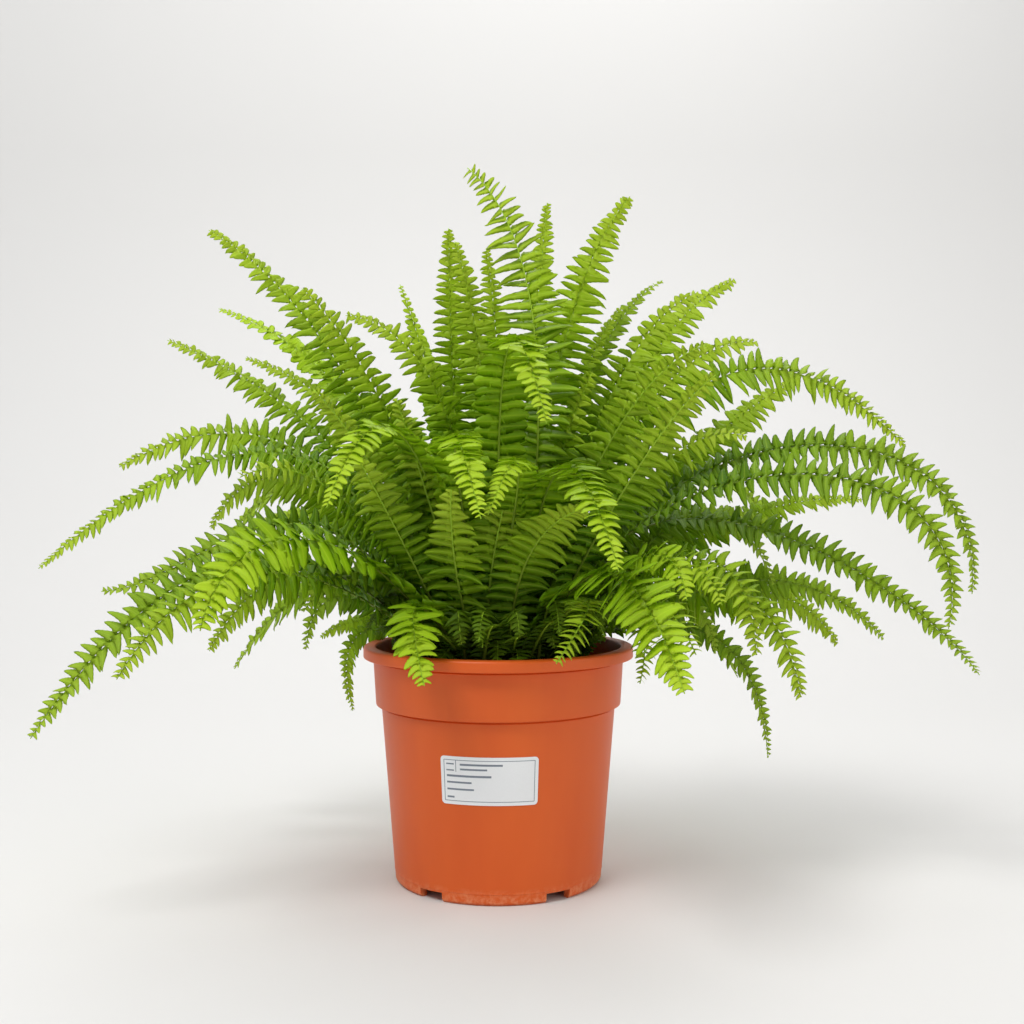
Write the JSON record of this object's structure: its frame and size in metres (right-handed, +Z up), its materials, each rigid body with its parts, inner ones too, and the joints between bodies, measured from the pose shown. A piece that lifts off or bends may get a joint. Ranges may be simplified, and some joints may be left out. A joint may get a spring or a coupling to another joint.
{
  "type": "potted fern",
  "caption": "Fern in a round plastic nursery pot: arching feathery fronds stand in dark soil; the pot has a rolled rim, a stepped collar, drain notches at its foot and a plain label.",
  "frame": {"origin": "on the pot's axis at the level that its foot stands on, which is the centre of the bottom of the part's box", "axes": "+Z up along the pot's axis; -Y is the front of the pot, the side with the label; +X is to the right seen from the front"},
  "size_m": [0.6462, 0.4596, 0.4989],
  "materials": {
    "pot_plastic": "satin",
    "potting_soil": "matte",
    "label_paper": "satin",
    "leaf_young": "satin",
    "leaf_mid": "satin",
    "leaf_deep": "satin"
  },
  "bodies": {
    "root": {"pot": "pot_plastic", "soil": "potting_soil", "label": "label_paper", "frond_front_right_light": "leaf_young", "frond_front_left_light": "leaf_young", "frond_front_rim_left": "leaf_young", "frond_front_droop_top": "leaf_young", "frond_front_droop_centre": "leaf_young", "frond_front_droop_right": "leaf_young", "frond_front_droop_left": "leaf_young", "frond_front_right_back": "leaf_mid", "frond_front_centre": "leaf_mid", "frond_front_centre_tall": "leaf_mid", "frond_front_left_rise": "leaf_mid", "frond_front_right_rise": "leaf_mid", "frond_front_right_short": "leaf_young", "frond_top_centre": "leaf_mid", "frond_top_right": "leaf_mid", "frond_top_left_a": "leaf_mid", "frond_top_left_b": "leaf_mid", "frond_top_left_c": "leaf_mid", "frond_left_up_inner": "leaf_mid", "frond_left_up_long": "leaf_mid", "frond_left_up_thick": "leaf_mid", "frond_left_fill_high": "leaf_mid", "frond_right_up_b": "leaf_mid", "frond_right_up_c": "leaf_mid", "frond_right_up_low": "leaf_mid", "frond_right_rise_inner": "leaf_mid", "frond_right_rise_low": "leaf_mid", "frond_right_up_a": "leaf_deep", "frond_right_up_small": "leaf_mid", "frond_left_mid_high": "leaf_mid", "frond_left_mid": "leaf_mid", "frond_left_long_thin": "leaf_mid", "frond_left_mid_low": "leaf_deep", "frond_left_fill_mid": "leaf_mid", "frond_left_low_long": "leaf_deep", "frond_left_low_inner": "leaf_mid", "frond_right_arch_high": "leaf_mid", "frond_right_straight": "leaf_mid", "frond_right_arch_a": "leaf_deep", "frond_right_arch_b": "leaf_deep", "frond_right_mid": "leaf_deep", "frond_right_low_front": "leaf_mid", "frond_right_fill_high": "leaf_mid", "frond_right_small_tip": "leaf_mid", "frond_small_up_left": "leaf_young", "frond_left_high_thin": "leaf_young", "frond_left_high_short": "leaf_mid", "frond_top_behind": "leaf_mid", "frond_back_centre_high": "leaf_mid", "frond_back_left_high": "leaf_mid", "frond_back_right_high": "leaf_mid", "frond_back_centre": "leaf_mid", "frond_back_left_mid": "leaf_deep", "frond_back_right_mid": "leaf_deep", "frond_back_left_arch": "leaf_mid", "frond_back_right_arch": "leaf_deep"}
  },
  "joints": []
}
